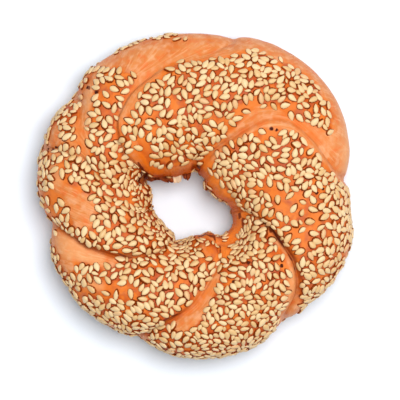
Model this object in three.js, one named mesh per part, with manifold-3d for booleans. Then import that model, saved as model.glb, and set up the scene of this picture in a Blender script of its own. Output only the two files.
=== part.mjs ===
// A simit, in millimetres, +Z up, resting on its flat sole with the origin under its middle.
//
// The bread is one rope of dough, twisted from two strands, bent into a ring and joined end to end.
// It is dipped in grape syrup, rolled in sesame and baked, so strands, join and seeds are one crust:
// a single solid. Each strand climbs out of the hole, crosses the top and goes down over the outer
// edge, so the valleys between the strands, called seams here, all slant the same way.
import * as THREE from "three";
import { MeshSurfaceSampler } from "three/addons/math/MeshSurfaceSampler.js";
import { mergeVertices } from "three/addons/utils/BufferGeometryUtils.js";
import Module from "manifold-3d";

// ---------------------------------------------------------------- driving dimensions
// Angles are in degrees round the hole, anticlockwise from +X. Radii are from the hole's middle.
const HOLE_MIDDLE = new THREE.Vector3(-1.1, -3.6, 0);
const WIDEST_AT = 14; // height of the rope's widest line above the table
const SOLE_CUT = 2.2; // how much of the round underside the baking tray has flattened
const SIDE_SHARPNESS = 0.84; // 1 is a plain ellipse, less is a fuller, squarer rope section
const UNDER_SHARPNESS = 0.7;

// The seams that cross the whole rope, clockwise. over: [angle, radius] seen from above, from the
// corner of the hole to the notch in the outer edge. depths: of the valley near the hole, midway and
// near the outer edge. lap: how far the strand clockwise of it stands over the one before.
const SEAMS = [
  { over: [[146, 16.4], [140, 30], [130, 41], [115, 48], [100, 52.8], [83, 57], [75, 63.4]],
    depths: [5.4, 6.4, 2.6], lap: 1.4 },
  { over: [[78, 12.8], [66, 21], [55, 33], [49, 43.6], [40, 49.4], [29, 52.4], [10, 58]],
    depths: [4.8, 5.4, 4.8], lap: 0.3 },
  { over: [[-3, 14.6], [-9, 24], [-19, 33], [-26, 42], [-33, 48], [-41, 52], [-49, 53.6]],
    depths: [5, 6.6, 6.2], lap: -0.6 },
  { over: [[-42, 16], [-58, 21.3], [-75, 28], [-87, 35.4], [-98, 41.5], [-111, 51.8]],
    depths: [4.4, 5.6, 6.2], lap: 0.9 },
  { over: [[-109, 11.8], [-125, 18.8], [-143, 29.6], [-159, 39.6], [-173, 50.8]],
    depths: [4.6, 5.8, 4.8], lap: 0.9 },
  { over: [[-180, 13.4], [-191, 24], [-198, 32], [-205, 42.8], [-202.5, 58.2]],
    depths: [3.8, 5, 4.4], lap: 0.2 },
];

// The short seam that branches off the last one, where the rope's ends are tucked together.
const TUCK = { over: [[-205, 42.8], [-213, 49], [-222, 54.5], [-226, 60.6]], depths: [4, 4.8, 7], lap: 0.3 };

// The strands clockwise of each seam. swell: how far the outer edge bows out between its two
// notches. belly: how far it bows into the hole. crest: its height. stations: facets across it.
const STRANDS = [
  { swell: 6.6, belly: 4.8, crest: 37, stations: 18 },
  { swell: 4.2, belly: 4.1, crest: 35.5, stations: 15 },
  { swell: 3.1, belly: -0.4, crest: 34.5, stations: 14 },
  { swell: 1.6, belly: 4.1, crest: 33, stations: 13 },
  { swell: 1.9, belly: 2.6, crest: 32, stations: 12 },
  { swell: 2.1, belly: 1.5, crest: 33, stations: 16 },
];

const OUTER_ROUNDNESS = 0.8; // how an edge bows: 1 is an arch, less is fuller at its ends
const INNER_ROUNDNESS = 0.6;
const SHOULDER = 13; // a strand is round for this far from its seam
const PINCH = 1.6; // width of the sharp fold at the bottom of a seam
const PINCH_SHARE = 0.28; // of the seam's depth, the share in that fold
const EDGE_DEPTH = 0.28; // depth at the outer edge and in the hole, as a share of the depth on top
const SOLE_DEPTH = 0.22; // and on the way to the sole

// Facets across the rope: this many over the top, then edges at these angles below the widest line.
// The last edge is where the flat sole begins.
const TOP_ROWS = 14;
const UNDER_EDGES = [0, 14, 29, 45, 62];

// Sesame: flat pointed drops, spread evenly where the crust holds them.
const SEED = { length: 3.9, width: 2.5, thickness: 1.7, broadest: 0.12, sunk: 0.12 };
const SEED_COUNT = 250;
const SEED_SPACING = 5;
const SEEDS_ABOVE = 5; // height from which the underside's curve holds seeds
const RANDOM_SEED = 7;

// Strips beside a seam that the rising dough has stretched clear of seeds, on its clockwise side or
// before it. from, to: shares of the way along the seam. width: of the strip.
const CLEAR_OF_SEAM = 1.8;
const BARE = [
  { seam: 0, clockwise: true, from: 0.5, to: 1, width: 5.5 },
  { seam: 0, clockwise: false, from: 0.66, to: 1, width: 13 },
  { seam: 1, clockwise: false, from: 0.6, to: 1, width: 8 },
  { seam: 1, clockwise: true, from: 0.3, to: 0.9, width: 3.4 },
  { seam: 2, clockwise: true, from: 0.65, to: 1, width: 5 },
  { seam: 2, clockwise: true, from: 0, to: 0.15, width: 6 },
  { seam: 3, clockwise: false, from: 0.35, to: 1, width: 6 },
  { seam: 4, clockwise: false, from: 0.3, to: 1, width: 9 },
  { seam: 5, clockwise: false, from: 0.45, to: 1, width: 9 },
];

// ---------------------------------------------------------------- small helpers
const { degToRad, lerp, clamp, euclideanModulo, smoothstep } = THREE.MathUtils;
const TAU = 2 * Math.PI;
const UP = new THREE.Vector3(0, 0, 1);
const signedPower = (x, p) => Math.sign(x) * Math.abs(x) ** p;
const atPolar = (angle, radius, z = 0) => new THREE.Vector3(radius, 0, z).applyAxisAngle(UP, angle).add(HOLE_MIDDLE);

// ---------------------------------------------------------------- the ring's two edges
// Radius of an edge that runs from corner to corner at the seams and bows out in between.
function edge(end, roundness, bowOf) {
  const corners = SEAMS.map((seam, i) => {
    const [angle, radius] = seam.over.at(end);
    return { angle: degToRad(angle), radius, bow: bowOf(STRANDS[i]) };
  });
  return (angle) => {
    const here = corners.findLastIndex((c, i) => {
      const next = corners[(i + 1) % corners.length];
      return euclideanModulo(c.angle - angle, TAU) <= euclideanModulo(c.angle - next.angle, TAU);
    });
    const [a, b] = [corners[here], corners[(here + 1) % corners.length]];
    const share = euclideanModulo(a.angle - angle, TAU) / euclideanModulo(a.angle - b.angle, TAU);
    return lerp(a.radius, b.radius, share) + a.bow * Math.sin(Math.PI * share) ** roundness;
  };
}
const outerEdge = edge(-1, OUTER_ROUNDNESS, (strand) => strand.swell);
const innerEdge = edge(0, INNER_ROUNDNESS, (strand) => -strand.belly);

// ---------------------------------------------------------------- the smooth rope, before its seams
// turn goes round the rope: 0 at the outer edge, half of pi on top, pi in the hole, and on beneath.
function ropeAt(angle, turn, crest) {
  const [outer, inner] = [outerEdge(angle), innerEdge(angle)];
  const top = Math.sin(turn) >= 0;
  const sharpness = top ? SIDE_SHARPNESS : UNDER_SHARPNESS;
  const across = (outer - inner) / 2 * signedPower(Math.cos(turn), sharpness);
  const tall = top ? crest - WIDEST_AT : WIDEST_AT + SOLE_CUT;
  return atPolar(angle, (outer + inner) / 2 + across, WIDEST_AT + tall * signedPower(Math.sin(turn), sharpness));
}

function turnAt(angle, radius) {
  const [outer, inner] = [outerEdge(angle), innerEdge(angle)];
  const share = clamp((2 * radius - outer - inner) / (outer - inner), -1, 1);
  return Math.acos(signedPower(share, 1 / SIDE_SHARPNESS));
}

// A seam seen from above as closely spaced places from the hole outwards, its angle never jumping.
function routeOf(over) {
  const curve = new THREE.CatmullRomCurve3(over.map(([angle, radius]) => atPolar(degToRad(angle), radius)));
  let angle = degToRad(over[0][0]);
  return curve.getSpacedPoints(40).map((p) => {
    p.sub(HOLE_MIDDLE);
    const onward = Math.atan2(p.y, p.x) - angle;
    angle += Math.atan2(Math.sin(onward), Math.cos(onward));
    return { angle, turn: turnAt(angle, p.length()) };
  });
}
const ROUTES = SEAMS.map(({ over }) => routeOf(over));

// The angle at which a seam stands at a turn over the top, or under the sole straight back.
function seamAngle(number, turn) {
  const route = ROUTES[euclideanModulo(number, SEAMS.length)];
  const lapsed = Math.floor(number / SEAMS.length) * TAU;
  if (turn > Math.PI) return lerp(route[0].angle, route.at(-1).angle, smoothstep(turn / Math.PI, 1, 2)) - lapsed;
  const next = route.findIndex((place) => place.turn <= turn);
  if (next <= 0) return route.at(next).angle - lapsed;
  const [a, b] = [route[next - 1], route[next]];
  return lerp(a.angle, b.angle, (turn - a.turn) / (b.turn - a.turn)) - lapsed;
}

// place counts the seams clockwise: 0 on the first, 0.5 midway over the strand after it, and so on.
function ropePoint(place, turn) {
  const seam = Math.floor(place);
  const angle = lerp(seamAngle(seam, turn), seamAngle(seam + 1, turn), place - seam);
  const strand = Math.floor(place - 0.5);
  const crestOf = (number) => STRANDS[euclideanModulo(number, STRANDS.length)].crest;
  return ropeAt(angle, turn, lerp(crestOf(strand), crestOf(strand + 1), place - 0.5 - strand));
}

function ropeNormal(place, turn) {
  const step = 1e-3;
  const clockwise = ropePoint(place + step, turn).sub(ropePoint(place - step, turn));
  const inward = ropePoint(place, turn + step).sub(ropePoint(place, turn - step));
  return inward.cross(clockwise).normalize();
}

// ---------------------------------------------------------------- the seams on the rope
// Over the top, then, for the six long ones, across the sole to come up two strands further on.
const seamLines = [...SEAMS, TUCK].map((seam, number) => {
  const crest = STRANDS[number % STRANDS.length].crest;
  const top = routeOf(seam.over).map(({ angle, turn }) => ropeAt(angle, turn, crest));
  const line = { seam, top, sole: [] };
  if (seam === TUCK) return line;
  const start = ROUTES[number].at(-1).angle;
  const end = seamAngle(number + 2, Math.PI);
  for (let share = 0; share <= 1; share += 0.05)
    line.sole.push(ropeAt(lerp(start, end, share), -Math.PI * share, crest));
  return line;
});

// Where a point is against one seam: how far off, how far along, and whether clockwise of it.
function against({ top, sole }, point, normal) {
  const points = [...top, ...sole];
  const nearest = { distance: Infinity };
  const closest = new THREE.Vector3();
  const stretch = new THREE.Line3();
  for (let i = 1; i < points.length; i++) {
    stretch.set(points[i - 1], points[i]);
    stretch.closestPointToPoint(point, true, closest);
    const distance = closest.distanceTo(point);
    if (distance >= nearest.distance) continue;
    const outward = stretch.delta(new THREE.Vector3());
    nearest.distance = distance;
    nearest.share = Math.min(1, i / (top.length - 1));
    nearest.clockwise = outward.cross(closest.sub(point)).dot(normal) > 0;
  }
  return nearest;
}

// ---------------------------------------------------------------- the dough
function doughPoint(place, turn) {
  const point = ropePoint(place, turn);
  const normal = ropeNormal(place, turn);
  const [{ seam, distance, share, clockwise }] = seamLines
    .map((line) => ({ seam: line.seam, ...against(line, point, normal) }))
    .sort((a, b) => a.distance - b.distance);
  const height = Math.sin(turn);
  const reach = lerp(EDGE_DEPTH, height > 0 ? 1 : SOLE_DEPTH, Math.abs(height) ** 0.7);
  const shoulder = Math.max(0, 1 - distance / SHOULDER) ** 2;
  const fold = Math.exp(-((distance / PINCH) ** 2));
  const depth = share < 0.5
    ? lerp(seam.depths[0], seam.depths[1], 2 * share)
    : lerp(seam.depths[1], seam.depths[2], 2 * share - 1);
  const valley = depth * reach * ((1 - PINCH_SHARE) * shoulder + PINCH_SHARE * fold);
  const lap = seam.lap * Math.max(0, height) * (clockwise ? 1 : -1) * Math.min(1, distance) * shoulder;
  point.addScaledVector(normal, lap - valley);
  point.z = Math.max(0, point.z);
  return point;
}

function doughGeometry() {
  const places = STRANDS.flatMap(({ stations }, strand) =>
    Array.from({ length: stations }, (_, i) => strand + i / stations));
  const turns = [
    ...Array.from({ length: TOP_ROWS }, (_, i) => Math.PI * i / TOP_ROWS),
    ...UNDER_EDGES.map((below) => Math.PI + degToRad(below)),
    ...UNDER_EDGES.slice(1).reverse().map((below) => TAU - degToRad(below)),
  ];
  const grid = places.flatMap((place) => turns.map((turn) => doughPoint(place, turn)));
  const at = (i, j) => (i % places.length) * turns.length + (j % turns.length);
  const index = [];
  for (let i = 0; i < places.length; i++)
    for (let j = 0; j < turns.length; j++) {
      const [a, b, c, d] = [at(i, j), at(i, j + 1), at(i + 1, j + 1), at(i + 1, j)];
      const shorter = grid[a].distanceTo(grid[c]) < grid[b].distanceTo(grid[d]);
      if (shorter) index.push(a, b, c, a, c, d);
      else index.push(a, b, d, b, c, d);
    }
  return new THREE.BufferGeometry().setFromPoints(grid).setIndex(index);
}

// ---------------------------------------------------------------- the sesame
// One seed about its own middle, long in X and broadest nearer one end, with few faces.
function seedGeometry() {
  const seed = new THREE.SphereGeometry(0.5, 6, 2).rotateZ(-Math.PI / 2);
  const place = seed.getAttribute("position");
  for (let i = 0; i < place.count; i++)
    if (Math.abs(place.getX(i)) < 0.1) place.setX(i, -SEED.broadest);
  return seed.scale(SEED.length, SEED.width, SEED.thickness);
}

// Repeatable random numbers from 0 to 1.
function randomNumbers(start) {
  let state = start;
  return () => {
    state = (Math.imul(state, 1664525) + 1013904223) >>> 0;
    return state / 2 ** 32;
  };
}

function isBare(point, normal) {
  return seamLines.some((line, number) => {
    const { distance, share, clockwise } = against(line, point, normal);
    if (distance < CLEAR_OF_SEAM) return true;
    return BARE.some((strip) => strip.seam === number && strip.clockwise === clockwise
      && share > strip.from && share < strip.to && distance < strip.width);
  });
}

function seedPlaces(dough) {
  const random = randomNumbers(RANDOM_SEED);
  const sampler = new MeshSurfaceSampler(new THREE.Mesh(dough)).setRandomGenerator(random).build();
  const places = [];
  for (let tries = 0; places.length < SEED_COUNT && tries < 20000; tries++) {
    const point = new THREE.Vector3();
    const normal = new THREE.Vector3();
    sampler.sample(point, normal);
    if (point.z < SEEDS_ABOVE || places.some((p) => p.point.distanceTo(point) < SEED_SPACING)) continue;
    if (isBare(point, normal)) continue;
    places.push({ point, normal, twist: TAU * random() });
  }
  return places;
}

function placedSeed({ point, normal, twist }) {
  const lie = new THREE.Quaternion().setFromUnitVectors(UP, normal)
    .multiply(new THREE.Quaternion().setFromAxisAngle(UP, twist));
  const middle = point.clone().addScaledVector(normal, -SEED.sunk);
  return seedGeometry().applyQuaternion(lie).translate(middle.x, middle.y, middle.z);
}

// ---------------------------------------------------------------- one solid
const wasm = await Module();
wasm.setup();

function solidFrom(geometry) {
  const bare = geometry.clone();
  bare.deleteAttribute("normal");
  bare.deleteAttribute("uv");
  const merged = mergeVertices(bare, 1e-4);
  return new wasm.Manifold(new wasm.Mesh({
    numProp: 3,
    vertProperties: merged.attributes.position.array,
    triVerts: new Uint32Array(merged.index.array),
  }));
}

const dough = doughGeometry();
const baked = seedPlaces(dough)
  .reduce((crust, place) => crust.add(solidFrom(placedSeed(place))), solidFrom(dough))
  .getMesh();

const crust = new THREE.BufferGeometry()
  .setAttribute("position", new THREE.BufferAttribute(baked.vertProperties, 3))
  .setIndex(new THREE.BufferAttribute(baked.triVerts, 1));
crust.computeBoundingBox();
const middle = crust.boundingBox.getCenter(new THREE.Vector3());
crust.translate(-middle.x, -middle.y, 0);

const simit = new THREE.Mesh(
  crust,
  new THREE.MeshStandardMaterial({ color: 0xdb9965, roughness: 0.55, metalness: 0 }),
);
simit.name = "simit";

const bread = new THREE.Group();
bread.add(simit);
export default bread;
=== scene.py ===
import itertools
import math

import bmesh
import bpy
import mathutils
import numpy as np
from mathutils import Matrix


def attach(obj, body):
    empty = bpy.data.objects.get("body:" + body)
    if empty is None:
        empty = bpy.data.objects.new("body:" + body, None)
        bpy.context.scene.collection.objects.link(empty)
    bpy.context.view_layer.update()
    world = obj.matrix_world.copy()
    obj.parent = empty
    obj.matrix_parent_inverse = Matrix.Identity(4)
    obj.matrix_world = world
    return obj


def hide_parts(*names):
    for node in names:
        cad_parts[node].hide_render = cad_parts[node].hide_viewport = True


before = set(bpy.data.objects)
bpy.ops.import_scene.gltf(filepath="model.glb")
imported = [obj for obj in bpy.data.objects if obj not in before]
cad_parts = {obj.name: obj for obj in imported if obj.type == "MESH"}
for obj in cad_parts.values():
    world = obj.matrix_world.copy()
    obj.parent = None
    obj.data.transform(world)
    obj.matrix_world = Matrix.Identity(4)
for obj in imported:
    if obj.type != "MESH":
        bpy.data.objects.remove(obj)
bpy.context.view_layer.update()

# ------------------------------------------------------------------ the dough
# The bread itself: a rope of wheat dough twisted from two strands, bent round and joined, with a
# brown, satin crust. Where the rising strands slid apart, bands of paler dough were stretched bare.
MM = 0.001
TAU = 2 * math.pi
HOLE_MIDDLE = np.array([-1.99, -4.20])
WIDEST_AT = 14.0  # height of the rope's widest line
SOLE_CUT = 2.2  # how much of the round underside the tray has flattened
SIDE_SHARPNESS, UNDER_SHARPNESS = 0.84, 0.7
OUTER_ROUNDNESS, INNER_ROUNDNESS = 0.8, 0.6

# The valleys between the strands, clockwise. over: [angle, radius] from the hole's corner to the
# notch in the outer edge. The rows of values are at even steps along it, or one for all of it: the
# depth of the valley, the share of it in a sharp fold, how far the clockwise strand laps over the one
# before, how wide the valley is before the seam and after it. bare: the bare band's width on either
# side where the seam goes down the outer side.
SEAMS = {
    "crown": dict(
        over=[[146, 16.4], [140, 30], [130, 41], [115, 48], [100, 52.8], [83, 57], [75, 63.4]],
        depth=[6.4, 7.6, 7.0, 4.6, 2.2, 2.2], fold=[0.5, 0.55, 0.45, 0.2, 0.1, 0.2],
        lap=[1.6, 1.9, 1.7, 1.1, 0.4, 0.1], before=[11, 12, 12, 13, 14, 14], after=[7, 7, 7.5, 9, 12, 12],
        bare=(9, 4.5),
    ),
    "north": dict(
        over=[[78, 12.8], [66, 21], [55, 33], [49, 43.6], [40, 49.4], [29, 52.4], [10, 58.8]],
        depth=[2.8, 5.0, 4.8, 4.2, 4.2, 4.4], fold=[0.2, 0.4, 0.2, 0.05, 0.0, 0.15],
        lap=[0.5, 0.5, 0.55, 0.65, 0.7, 0.5], before=[10, 10, 13, 15, 15, 13], after=[9, 9, 10, 11, 11, 10],
        bare=(11, 2),
    ),
    "east": dict(
        over=[
            [-3, 14.7], [-9.2, 23.8], [-14.9, 31], [-21.7, 37.8], [-26.3, 43.4], [-32, 48.3],
            [-37.8, 52.2], [-43.5, 53.4], [-48.5, 54.0],
        ],
        depth=[3.4, 5.2, 5.8, 5.2, 4.0, 3.4], fold=[0.2, 0.5, 0.55, 0.5, 0.4, 0.3],
        lap=[-0.2, -0.6, -1.3, -1.3, -1.0, -0.5], before=[7, 6, 5, 4.6, 4.6, 6],
        after=[13, 12, 11, 10, 10, 11], bare=(0.4, 3.8),
    ),
    "south": dict(
        over=[[-42, 16], [-58, 21.3], [-75, 28], [-87, 35.4], [-98, 41.5], [-111, 51.2]],
        depth=[4.2, 4.8, 5.2, 6.0, 6.6, 6.0], fold=[0.15, 0.12, 0.18, 0.3, 0.55, 0.4],
        lap=[0.1, 0.3, 0.6, 1.0, 1.4, 0.8], before=[12, 13, 14, 14, 14, 12], after=[9, 9, 9, 9, 8, 9],
        bare=(0.6, 0.6),
    ),
    "foot": dict(
        over=[[-109, 11.8], [-125, 18.8], [-143, 29.6], [-159, 39.6], [-173, 50.4]],
        depth=[3.4, 4.4, 5.4, 6.0, 5.6, 4.8], fold=[0.2, 0.35, 0.45, 0.45, 0.4, 0.3],
        lap=[0.4, 0.9, 1.3, 1.3, 1.1, 0.6], before=[12, 13, 14, 15, 15, 13], after=[8, 8, 8, 8, 8, 9],
        bare=(7, 1),
    ),
    "west": dict(
        over=[[-180, 13.4], [-191, 24], [-198, 32], [-205, 42.8], [-202.5, 57.5]],
        depth=[3.4, 4.4, 5.0, 4.2, 3.2, 3.2], fold=[0.2, 0.25, 0.3, 0.25, 0.15, 0.3],
        lap=[0.2, 0.3, 0.4, 0.3, -0.2, -0.2], before=[10], after=[11, 11, 11, 10, 9, 9], bare=(1.6, 2.4),
    ),
    "tuck": dict(
        over=[[-205, 42.8], [-213, 49], [-222, 54.5], [-226, 60.6]],
        depth=[3.8, 4.4, 4.6, 4.6, 5.0, 6.0], fold=[0.1, 0.1, 0.1, 0.1, 0.15, 0.3],
        lap=[0.1], before=[9], after=[9, 10, 10, 10, 10, 10], bare=(2, 3),
    ),
    "knuckle": dict(
        over=[[-116, 15], [-97, 17], [-80, 20.4], [-66, 22.6], [-56, 22.0]],
        depth=[0.8, 1.6, 1.8, 1.4, 0.8, 0.2], fold=[0.1, 0.2, 0.2, 0.2, 0.1, 0.1],
        lap=[0], before=[4], after=[4], bare=(0, 0),
    ),
}
# Where the crust shows bare, in plan: bands stretched open as the strands slid and swelled, each a
# path of points with its half width there.
BARE = {
    "crown": [
        (-33.4, 49.6, 1.2), (-30, 49.3, 2.5), (-24.4, 49.5, 4), (-17.1, 50.9, 5.5), (-9.8, 53.1, 4.5),
        (-2.2, 53.5, 3.5), (5.5, 53.1, 4), (12.7, 54, 3.3), (19.3, 56.2, 3), (28, 54.9, 3.3),
        (35.3, 50.9, 3.1), (41.1, 47.3, 2.4), (46.2, 42.2, 2.2), (50.2, 35.6, 2.4), (53.1, 29.1, 2.2),
        (53.6, 24, 2), (54.2, 18, 3),
    ],
    "crown rim": [
        (-37, 48, 0.8), (-31, 52.4, 1.4), (-28, 54.4, 0.6), (-24, 56, 1.2), (-19, 57.6, 0.4),
        (-13, 58.8, 1), (-7, 60, 0.4), (-4, 59.5, 1.6), (-2, 59.5, 2), (6, 59, 2.4), (14, 58.8, 2.4),
        (22, 58.5, 2.4), (30, 57, 2.6), (38, 53.2, 2.8), (45, 48, 3), (51, 41, 3), (55, 33, 2.8),
        (56.5, 26, 2.6), (57, 18, 3.2), (57, 11, 3),
    ],
    "crown flank": [
        (-15.6, 46.5, 4.4), (-20, 40, 2.5), (-23.6, 34.2, 2.4), (-26.2, 29.8, 1.5), (-27.4, 25.5, 1.2),
        (-27, 21.5, 1.1), (-24.6, 16.5, 1.2), (-20.8, 11.5, 1),
    ],
    "crown foot": [
        (-21.8, 18.2, 1.2), (-20, 14.5, 1.4), (-18.2, 10.9, 1.4), (-14.9, 8.6, 1.4), (-9.8, 7.9, 1.7),
        (-4, 8.2, 1.7), (0.7, 10.2, 1.2),
    ],
    "crown toe": [(-14.9, 5.5, 1.4), (-9.8, 4.6, 2), (-4, 4.8, 2), (0.8, 7.4, 1.4)],
    "north lip": [
        (3.6, 10.9, 1.5), (6.9, 14.9, 1.3), (10.5, 18.5, 0.9), (14.2, 21.8, 1.6), (18.5, 24.5, 2.9),
        (25.1, 28.1, 3.9), (31.6, 28.1, 3), (37.8, 25, 2.6), (42.9, 22.9, 3.3), (47.3, 19, 4.2),
        (50.9, 14, 4.4), (53.5, 8.7, 2.9),
    ],
    "east lip": [
        (30, -15.6, 0.7), (33.6, -20.4, 1), (36.2, -26, 1.4), (37.4, -31.5, 1.7), (37.4, -36.5, 2),
        (36.6, -40.7, 2.4), (34.8, -44.2, 2),
    ],
    "neck": [(16.2, -6.4, 1.2), (15, -12, 1.5), (12.4, -16.4, 1.4), (11.4, -19.6, 1.1)],
    "neck edge": [(13.2, -4.2, 1), (14.6, -8.2, 1.3), (13.6, -12.5, 1.4)],
    "hole rim": [(3.6, 8.7, 1.2), (6.9, 4, 1.6), (11.6, -0.7, 1.5), (15.6, -4.4, 1.3)],
    "south flank": [
        (9, -27.5, 0.7), (7.4, -30.5, 1.6), (4.4, -35.5, 2.4), (1.7, -40, 3.2), (-1.2, -44, 3.4),
        (-4.8, -47.6, 2.1),
    ],
    "knuckle": [(9.2, -14.8, 0.9), (5.2, -13.6, 1.2), (1, -14.4, 1)],
    "knuckle face": [(3.6, -17.6, 0.6), (5.2, -20, 0.6)],
    "foot strip": [
        (-49.5, -16, 2.9), (-46.2, -19.6, 4), (-41.1, -21.1, 3.1), (-36.4, -22.2, 2.4),
        (-31.6, -23.6, 2), (-28.4, -23.3, 1.1),
    ],
    "foot shoulder": [(-47, -21, 2.6), (-45.2, -26.8, 1.9)],
    "west edge": [(-57, 11, 0.8), (-57.6, 4, 1.5), (-56.2, -5, 1.2), (-54, -11, 0.6)],
    "west belly": [(-49.1, 3.6, 1.5), (-44.7, 0, 3), (-41.3, -3.6, 4.4), (-39.8, -7.6, 3.7)],
    "west notch": [(-53.1, 18.6, 0.7), (-47.6, 19.8, 0.8), (-42.9, 18.6, 0.9), (-39.3, 14.8, 0.8)],
    "west rim": [(-50.9, 20.7, 1.5), (-49.5, 25.5, 1.1)],
    "tail rim": [(-49.6, 34, 0.9), (-52.6, 28.5, 1.3), (-55, 22, 1.2)],
    "lower left rim": [(-41.1, -41.5, 0.6), (-33.8, -47.3, 1), (-24.7, -51.6, 1.3), (-17.5, -53.3, 0.7)],
    "lower right rim": [(20.7, -56.9, 0.5), (28, -52.8, 1.3), (33.5, -47.3, 1.5), (36, -43, 1)],
    "right rim": [
        (56.4, -17.8, 0.6), (55.5, -24, 0.6), (52.2, -31.4, 0.7), (47.2, -36.9, 1), (42.5, -40.7, 1.4),
    ],
    "tuck": [
        (-35.6, 43, 1.2), (-38.6, 38, 2.2), (-39.8, 32, 2), (-40.8, 27.3, 1.8), (-40.8, 21.8, 1.8),
        (-39.8, 16.7, 1.9),
    ],
}
# Where fewer seeds stuck, and where the most did.
SPARSE = {
    "east cheek": [(37.8, -14.5, 3.3), (40.4, -18.9, 2.9), (37.5, -22.5, 1.8)],
    "north cheek": [(9, 19, 1.6), (6.8, 15.6, 2.4), (5.6, 10, 3), (5.6, 5.4, 3.4), (11, 2.6, 2.4)],
    "north middle": [(22.9, 2.2, 2.2), (28.7, 3.6, 2.2)],
    "crown heel": [(-19.3, 20.4, 2.6), (-15.6, 13.8, 2.2), (-8, 12.6, 1.6)],
    "east middle": [(29, 0.5, 4.2), (37, -3.6, 5), (43.5, -9, 3.8), (41, -15, 3.2)],
    "crown middle": [(1.1, 24.7, 2.9), (8, 28.4, 2.2)],
    "foot belly": [(-39.6, -36.2, 3), (-36, -33, 4), (-30.5, -33.4, 3.2), (-22.2, -34.6, 3.4)],
    "west middle": [(-51.5, 1, 2.4), (-49.5, -6, 3)],
    "west rim": [
        (-49, 38, 2), (-53, 31, 2.4), (-55, 22, 2.4), (-57, 14, 2.8), (-57.4, 6, 2.8), (-54.5, -4, 2.8),
        (-53, -12, 2.4),
    ],
    "foot rim": [(-52.6, -18, 2.6), (-51.6, -24, 3.2), (-48.6, -31, 3), (-43, -38, 2)],
    "west belly": [(-48.4, 6.5, 2.9), (-36.7, -3.3, 2.9)],
    "tuck back": [(-45.6, 35.8, 2.6), (-45, 32, 2)],
    "tail": [(-33.5, 40, 1.8), (-30.2, 37.8, 3.2), (-31.5, 31.5, 3.2)],
    "tail rim": [(-30.5, 48, 2.2), (-36, 45.4, 1.2), (-42, 38.5, 1.8)],
    "crown back": [(14, 30.4, 2), (24, 33.6, 2.2), (34, 33, 2.2), (40, 29.6, 1.8)],
    "crown ridge": [(-13, 33, 1.6), (-4, 30, 1.6)],
}
FULL = {
    "crown": [(20, 46, 5), (31, 42, 4.5)],
    "north lip": [(30, 18, 3), (36, 8, 5), (48, 4, 5)],
    "east lip": [(33.6, -14, 1.6), (38.2, -20, 2), (42, -28, 3.6), (42.6, -35, 2.6)],
    "tail end": [(-18.8, 8.4, 2.4), (-16.8, 1.4, 2.6), (-15, -5, 2)],
    "south": [(22, -26, 7), (30, -38, 6), (14, -50, 7)],
    "south end": [(-14, -37, 4), (-8, -40, 3.4), (-20, -47, 4)],
    "foot": [(-12, -22, 6), (0, -26, 5)],
    "west end": [(-41, -12.5, 2.4), (-32, -14, 3.4), (-22, -18, 3)],
    "west": [(-36, 12, 4), (-26, 6, 5), (-22, -6, 4)],
    "west notch": [(-50, 14.6, 2.4), (-42, 13, 2.4)],
}
# Where the crust baked deeper or is painted with shade, is painted brighter for bounce light, is painted
# paler for light, charred or painted with shadow lines in the folds, or reddened.
DARK_BAKE_AND_SHADE = {
    "crown foot": [(-20, 16.7, 3), (-16.4, 10.2, 4), (-9.8, 6.2, 4.6), (-2.9, 6.2, 4.4), (2.2, 10.2, 3.6)],
    "crown groove": [(-26.6, 28, 0.8), (-27.4, 22, 1.2), (-25, 16.5, 1.4), (-21, 11.5, 1.4)],
    "tuck groove": [(-42, 30, 0.6), (-42, 24, 1), (-41, 18, 1), (-39.4, 14.6, 0.8)],
    "hole corner": [(1.6, 12.6, 1.6), (4, 10, 1.6)],
    "north fold": [(5, 16, 1.2), (9, 21.4, 1.4), (13.5, 25, 1.8), (18, 28, 1)],
    "north flank": [(31.5, 30, 0.4), (38.5, 27.2, 1.6), (42.5, 24.4, 1.4), (46, 21, 0.6)],
    "south fold": [(4, -33, 0.4), (0, -38.5, 1.2), (-1.6, -41.4, 1.4), (-4.5, -43.5, 0.9)],
    "south flank": [(7.4, -30.4, 0.3), (4, -36, 1.4), (1, -40.4, 1)],
    "tail end": [(-21, 8, 3.4), (-16.5, 1, 3.4), (-13.5, -6, 2.4)],
}
# Painted bounce light: places on the sides turned from the lamp, painted a brighter orange.
PAINTED_BOUNCE_LIGHT = {
    "neck": [(16.4, -6.6, 1), (15, -12, 2.2), (12.6, -17, 2.4), (11.2, -20.6, 1.4)],
    "hole rim": [(5.4, 17, 0.8), (4.2, 11.4, 2), (6.7, 4.2, 2.7), (11.6, -1.1, 2.6), (15.4, -4.4, 2.2)],
    "neck top": [(14.5, -3.6, 1.4), (17.6, -6.6, 1.6), (17.4, -10, 1.6)],
    "knuckle": [(9, -14.6, 0.4), (4.4, -13.8, 0.8), (0, -15, 0.4)],
}
# Painted light: places painted paler to stand for light falling on them.
PAINTED_LIGHT = {
    "tuck": [(-38, 39, 1.4), (-38.6, 33, 1.4)],
    "foot strip": [(-49, -16, 2.4), (-45, -19.6, 3.4), (-40, -21.4, 2.8), (-34, -23.2, 1.8)],
    "west": [(-50, 6, 2.6), (-53, 13, 2)],
    "west notch": [(-50.5, 15.8, 1.6), (-44, 14.6, 1.8), (-38.6, 11.6, 1.2)],
    "right rim": [(53.5, 36, 1.2), (56, 28, 1.8), (56.8, 18, 1.8), (56.4, 10, 1.4)],
    "foot belly": [(-41, -31, 2.2), (-34, -32.5, 1.8)],
    "east lip": [(36, -27, 0.8), (36, -34, 1.6), (33, -41, 1.6)],
}
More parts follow.
